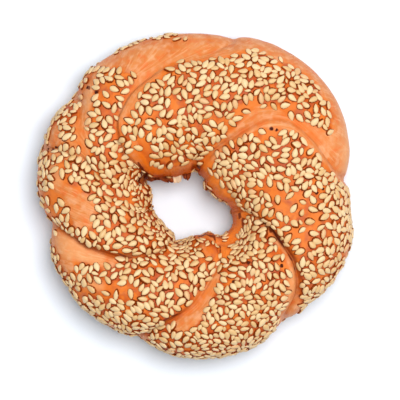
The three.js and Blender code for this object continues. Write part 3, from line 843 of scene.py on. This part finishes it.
def sown(count):
    """Seeds thrown one by one, the big ones first. Each is turned until it fits between its
    neighbours, three circles in a row standing for a seed, and is left out where none fits."""
    drop = spots(count)
    at, opened, crease, valley = drop["at"], *(drop[key][:, 0] for key in ("open", "crease", "valley"))
    x, y, z = at.T
    facing = unit(drop["facing"])
    level = unit(np.cross(facing, rng.normal(size=(count, 3))))
    across = np.cross(facing, level)
    small = (inside(at, SMALLER) / 4).clip(0, 1)
    smallest = (inside(at, SMALLEST) / 1.5).clip(0, 1)
    size = np.sort(rng.normal(1, 0.15, count).clip(0.64, 1.3))[::-1] * (1 - 0.09 * small - 0.3 * smallest)
    # crowd: high where the seeds lie thick. thin: 1 where few stuck.
    crowd = crowding(at, 8.0) + 0.5 * crowding(at + 50, 3.5)
    crowd += (0.6 - crowd) * (inside(at, FULL) / 2).clip(0, 1) * 0.8
    thin = (inside(at, SPARSE) / 2).clip(0, 1) * (z > 7)
    room = SPACING - 0.03 * small + 0.22 * (-crowd).clip(0, 1) * (1 - 0.6 * small) + 0.75 * thin
    # Seeds keep off the bare bands, the folds, the burns, the sole and the strands' overhanging lips.
    steep = facing[:, 2] < SIDE
    unburnt = np.all([np.hypot(x - spot[0], y - spot[1]) > spot[2] + BURN_GAP for spot in SCORCHED], axis=0)
    unburnt = unburnt & (inside(at, CHAR_AND_FOLD_SHADOW) < -0.8) | steep
    lip = (valley > 1.6) & steep & (z > 14) & (smallest < 0.3)
    keep = (opened + rng.normal(0, BAND_RAGGED, count) < -BAND_GAP) & (crease < 0.14) & ~lip & unburnt
    keep &= (z > LOWEST_SEED + 3 * rng.random(count) ** 2) & (crowd - 0.45 * thin > -0.55)
    cells, kept, lying = {}, [], []
    for i in np.flatnonzero(keep):
        radius = SEED["Width"] / 2 * size[i]
        home = (at[i] // CELL).astype(int)
        there = []
        for step in itertools.product((-1, 0, 1), repeat=3):
            there += cells.get(tuple(home + step), ())
        angles = rng.random() * math.pi + np.arange(TURNS_TRIED) * math.pi * 2 / TURNS_TRIED
        rows = np.cos(angles)[:, None] * level[i] + np.sin(angles)[:, None] * across[i]
        reach = SEED["Length"] * size[i] * CIRCLE_STEP
        circles = at[i] + rows[:, None] * (np.array(CIRCLES) * reach)[None, :, None]
        best = 0
        if there:
            there = np.array(there)
            gaps = np.linalg.norm(circles[:, :, None] - there[None, None, :, :3], axis=-1)
            gaps = (gaps - (there[:, 3] + radius) * room[i]).min(axis=(1, 2))
            best = int(np.argmax(gaps))
            if gaps[best] < 0:
                continue
        cells.setdefault(tuple(home), []).extend(
            (*circle, radius * part) for circle, part in zip(circles[best], CIRCLE_SIZES))
        kept.append(i)
        lying.append(rows[best])
    return at[kept], facing[kept], np.array(lying), size[kept]


seed_at, seed_facing, seed_lying, seed_size = sown(SEEDS_THROWN)
seed_facing = unit(seed_facing + rng.normal(0, 0.12, seed_at.shape))
seed_size = seed_size[:, None] * rng.normal(1, (0.06, 0.08, 0.1), seed_at.shape)


def seed_spots(name, points):
    """Points for the seeds, each with how it faces and lies, its size and a random tone."""
    made = mesh_object(name, points)
    for key, values in (("facing", seed_facing), ("lying", seed_lying), ("size", seed_size)):
        give(made, key, values, "FLOAT_VECTOR")
    give(made, "tone", rng.random(len(points)))
    return made


def laid(recipe, points, one):
    """One form laid at every point: upright along facing, lengthwise along lying."""
    along = recipe.node("FunctionNodeAxesToRotation", {"primary_axis": "Z", "secondary_axis": "X"}, {
        "Primary Axis": recipe.named("facing", "FLOAT_VECTOR"),
        "Secondary Axis": recipe.named("lying", "FLOAT_VECTOR")})
    copies = recipe.node("GeometryNodeInstanceOnPoints", {}, {
        "Points": points, "Instance": one, "Rotation": along, "Scale": recipe.named("size", "FLOAT_VECTOR")})
    return recipe.node("GeometryNodeRealizeInstances", {}, {"Geometry": copies})


def reshaped(recipe, geometry, **form):
    """The geometry with each of its points moved to a new X, Y and Z."""
    return recipe.node("GeometryNodeSetPosition", {}, {
        "Geometry": geometry, "Position": recipe.node("ShaderNodeCombineXYZ", {}, form)})


def parted(recipe):
    """The X, Y and Z of every point."""
    place = recipe.node("ShaderNodeSeparateXYZ", {}, {0: recipe.place()})
    return [place.out(axis) for axis in "XYZ"]


sowing, given = geometry_recipe("lay_sesame", {"Spots": "Geometry", **SEED}, {"Seeds": "Geometry"})
ball = sowing.node("GeometryNodeTransform", {}, {
    "Geometry": sowing.node("GeometryNodeMeshUVSphere", {}, {
        "Segments": SEED_SEGMENTS, "Rings": SEED_RINGS, "Radius": 1.0}),
    "Rotation": (0, math.pi / 2, 0)})
along, aside, up = parted(sowing)
taper = (1.04 - along).maths("POWER", given["Taper"]) * (1.05 - along ** 2 * 0.2)
flatter = up * (up.maths("ABSOLUTE") + 0.02) ** -0.4
one_seed = reshaped(
    sowing, sowing.keep(ball, rise=up, tip=along),
    X=along * given["Length"] * (MM / 2),
    Y=aside * given["Width"] * taper * (MM / 2.08),
    Z=flatter * given["Thickness"] * (1 - along * 0.2) * (MM / 2))
dents = (sowing.noise(700.0, 1.0) - 0.5) * given["Dents"] * (2 * MM)
sesame_skin = bpy.data.materials.new("sesame")
sowing.end("Seeds", sowing.moved_out(laid(sowing, given["Spots"], one_seed), dents), sesame_skin)
sesame = shaped(seed_spots("sown", seed_at + seed_facing * LIFT), sowing, SEED, "sesame")

paint = Finish(sesame_skin)
tone, rise, tip = map(paint.mark, ("tone", "rise", "tip"))
paint.surface({
    "Base Color": paint.coats(
        paint.mix(tone, (216, 172, 113), (234, 203, 154)),
        (tone.above(0.9, 12) * 0.6, (208, 144, 84)),  # a few toasted darker
        (rise.below(0.12, 1 / 0.34) * 0.9, (120, 50, 0)),  # syrup round the foot, and painted contact shade
        (tip.above(0.75, 4) * 0.5, (212, 150, 90)),
    ),
    "Roughness": 0.45, "Specular IOR Level": 0.4, "Normal": paint.bump(paint.noise(1500.0), 0.25, 0.0003)})
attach(sesame, "root")

# ------------------------------------------------------------------ the syrup and painted contact shade
# Grape syrup that held the seeds, baked to a thin dark brown rim round the foot of each one, a rim that also
# stands for painted contact shade there; and soaked into the crust where they lie close, with painted shade
# between them.
RIM = {"Length": SEED["Length"], "Width": SEED["Width"], "Taper": SEED["Taper"], "Brim": 0.3, "Climb": 0.25}
RIM_SIDES, RIM_FOOT = 10, 0.25  # the foot runs into the dough
seed_places = mathutils.kdtree.KDTree(len(seed_at))
for i, place in enumerate(seed_at):
    seed_places.insert(place, i)
seed_places.balance()
# painted shade between the seeds, with the syrup: the crust is darker where the seeds lie close
spacing = np.array([sum(found[2] for found in seed_places.find_n(place, 3)) / 3 for place in grain["at"]])
give(dough, "syrup_and_shade_near_seeds", ((2.9 - spacing) / 1.3).clip(0, 1))
glazing, given = geometry_recipe("syrup_and_shade_rims", {"Spots": "Geometry", **RIM}, {"Syrup and shade": "Geometry"})
cone = glazing.node("GeometryNodeMeshCone", {"fill_type": "NGON"}, {
    "Vertices": RIM_SIDES, "Side Segments": 1, "Radius Top": 0.96, "Radius Bottom": 1.0, "Depth": 1.0})
along, aside, up = parted(glazing)
brim = (1 - up) * given["Brim"]
one_rim = reshaped(
    glazing, cone,
    X=along * (given["Length"] * 0.5 + brim) * MM,
    Y=aside * (given["Width"] * (1.06 - along).maths("POWER", given["Taper"]) * 0.48 + brim) * MM,
    Z=(up * (given["Climb"] + RIM_FOOT) - RIM_FOOT) * MM)
syrup_and_shade_skin = bpy.data.materials.new("syrup")
glazing.end("Syrup and shade", laid(glazing, given["Spots"], one_rim), syrup_and_shade_skin)
syrup = shaped(seed_spots("rims", seed_at), glazing, RIM, "syrup")
paint = Finish(syrup_and_shade_skin)
paint.surface({
    "Base Color": paint.mix(paint.noise(300.0), (114, 42, 0), (154, 64, 2)),
    "Roughness": 0.5, "Specular IOR Level": 0.08})
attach(syrup, "root")

# ------------------------------------------------------------------ the burnt flakes
# Scraps of crust torn loose where the strand's foot swelled into the hole: thin, curled, baked
# nearly black, one of them showing the paler crumb side. Burnt crumbs stick to the scorched spots.
FLAKE_THICKNESS = 0.35
FLAKE_ROOT = 1.2  # how far it runs into the dough
FLAKE_STEPS = 11
# From one angle to another round the hole, how far out, how high, and 1 where the pale side shows.
FLAKES = [
    (146, 132, 0.7, 15.5, 0), (135, 116, 1.9, 17.0, 0), (126, 99, 1.9, 14.5, 1), (99, 84, 1.7, 16.5, 0),
]
CRUMB_LARGEST, CRUMB_HEIGHT = 0.9, 0.35  # the wider scorched spots have no crumb


def flake(start, end, out, height, pale):
    """A scrap of crust: its points, in rows along the hole's edge, its faces, and how pale it is."""
    along = np.linspace(0, 1, FLAKE_STEPS)
    angle = np.radians(start + (end - start) * along)
    edge = inner_edge(angle)
    ragged = out * np.sin(math.pi * along) ** 0.4 * (0.8 + 0.4 * rng.random(FLAKE_STEPS))
    rows = []
    for side in (0.5, -0.5):
        for share in (0, 0.5, 0.8, 1):
            radius = edge + FLAKE_ROOT - (FLAKE_ROOT + ragged) * share
            curl = height + 0.5 * np.sin(9 * along + start) + share ** 2 * (0.5 - 1.7 * pale)
            thick = side * FLAKE_THICKNESS * (1 - 0.7 * share * share)
            rows.append(np.concatenate([in_plan(angle, radius), (curl + thick)[:, None]], axis=1))
    ring = [0, 1, 2, 3, 7, 6, 5, 4]  # round the section: over the top to the tip, and back beneath
    grid = np.arange(8 * FLAKE_STEPS).reshape(8, FLAKE_STEPS)
    faces = [
        [grid[a, i], grid[b, i], grid[b, i + 1], grid[a, i + 1]]
        for i in range(FLAKE_STEPS - 1) for a, b in zip(ring, ring[1:] + ring[:1])
    ]
    for a in range(3):
        faces += [grid[[a, a + 4, a + 5, a + 1], 0], grid[[a, a + 1, a + 5, a + 4], -1]]
    return np.concatenate(rows), faces, pale


ball = bmesh.new()
bmesh.ops.create_icosphere(ball, subdivisions=2, radius=1)
ball_points = np.array([corner.co for corner in ball.verts])
ball_faces = [[corner.index for corner in face.verts] for face in ball.faces]
ball.free()


def crumb(x, y, r):
    """A lumpy crumb at a scorched spot: its points, its faces, and -1, for burnt through."""
    off = np.hypot(grain["at"][:, 0] - x, grain["at"][:, 1] - y) + 99 * (grain["at"][:, 2] < WIDEST_AT)
    nearest = int(np.argmin(off))
    up = unit(grain["facing"][nearest])
    side = unit(np.cross(up, rng.normal(size=3)))
    lumpy = ball_points * (1 + 0.45 * crowding(ball_points + 10 * x, 0.9))[:, None]
    form = lumpy * (r * 0.95, r * 0.7, CRUMB_HEIGHT) @ np.stack([side, np.cross(up, side), up])
    return np.append([x, y], grain["at"][nearest, 2]) + form, ball_faces, -1


scraps = [flake(*row) for row in FLAKES] + [crumb(*spot) for spot in SCORCHED if spot[2] <= CRUMB_LARGEST]
first = np.cumsum([0] + [len(points) for points, _, _ in scraps])
flakes = mesh_object(
    "flakes", np.concatenate([points for points, _, _ in scraps]),
    [np.add(face, start) for start, (_, faces, _) in zip(first, scraps) for face in faces])
give(flakes, "pale", np.concatenate([np.full(len(points), pale) for points, _, pale in scraps]))
flake_skin = bpy.data.materials.new("burnt_flake")
flakes.data.materials.append(flake_skin)
paint = Finish(flake_skin)
pale = paint.mark("pale")
paint.surface({
    "Base Color": paint.coats(
        paint.mix(((paint.noise(700.0) - 0.5) * 3.0 + 0.5).limit(), (84, 26, 8), (150, 68, 28)),
        ((pale * -1.0).limit() * 0.8, (52, 14, 6)),  # the crumbs
        (pale.limit(), (238, 206, 170)),
    ),
    "Roughness": 0.6, "Specular IOR Level": 0.1})
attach(flakes, "root")

# ------------------------------------------------------------------ floor, light, camera
# A white sweep under a soft lamp high at the right, seen from straight above.
FLOOR = 2500
floor = mesh_object("floor", [[-FLOOR, -FLOOR, 0], [FLOOR, -FLOOR, 0], [FLOOR, FLOOR, 0], [-FLOOR, FLOOR, 0]],
                    [[0, 1, 2, 3]])
white = bpy.data.materials.new("white_sweep")
Finish(white).surface({"Base Color": linear((236, 242, 250)), "Roughness": 0.9, "Specular IOR Level": 0.1})
floor.data.materials.append(white)

world = bpy.data.worlds.new("studio")
bpy.context.scene.world = world
sky = Finish(world)
sky.node("ShaderNodeOutputWorld", {}, {
    "Surface": sky.node("ShaderNodeBackground", {}, {"Color": (0.88, 0.95, 1, 1), "Strength": 0.48})})

LAMP_AT, LAMP_WIDTH, LAMP_POWER = (0.26, 0.2, 1.5), 0.95, 24  # metres and watts
light = bpy.data.lights.new("key", "AREA")
light.shape, light.size, light.energy = "DISK", LAMP_WIDTH, LAMP_POWER
key = bpy.data.objects.new("key", light)
key.location = LAMP_AT
aim = np.array([0, 0, 0.02]) - LAMP_AT
tilt, heading = math.atan2(math.hypot(aim[0], aim[1]), -aim[2]), math.atan2(aim[1], aim[0])
key.rotation_euler = (tilt, 0, heading - math.pi / 2)
bpy.context.scene.collection.objects.link(key)

FRAME = 400  # pixels across
RING_AT = (193, 196)  # the pixel over the ring's middle
PIXELS_PER_MM = 2.75
CAMERA_HEIGHT, SENSOR = 2.4, 36  # metres, and millimetres
camera = bpy.data.objects.new("camera", bpy.data.cameras.new("camera"))
bpy.context.scene.collection.objects.link(camera)
bpy.context.scene.camera = camera
pixel = MM / PIXELS_PER_MM
camera.location = ((FRAME / 2 - RING_AT[0]) * pixel, (RING_AT[1] - FRAME / 2) * pixel, CAMERA_HEIGHT)
camera.data.sensor_width = SENSOR
camera.data.lens = SENSOR * (CAMERA_HEIGHT - WIDEST_AT * MM) / (FRAME * pixel)
camera.data.clip_start, camera.data.clip_end = 0.01, 100
bpy.context.scene.view_settings.view_transform = "Standard"
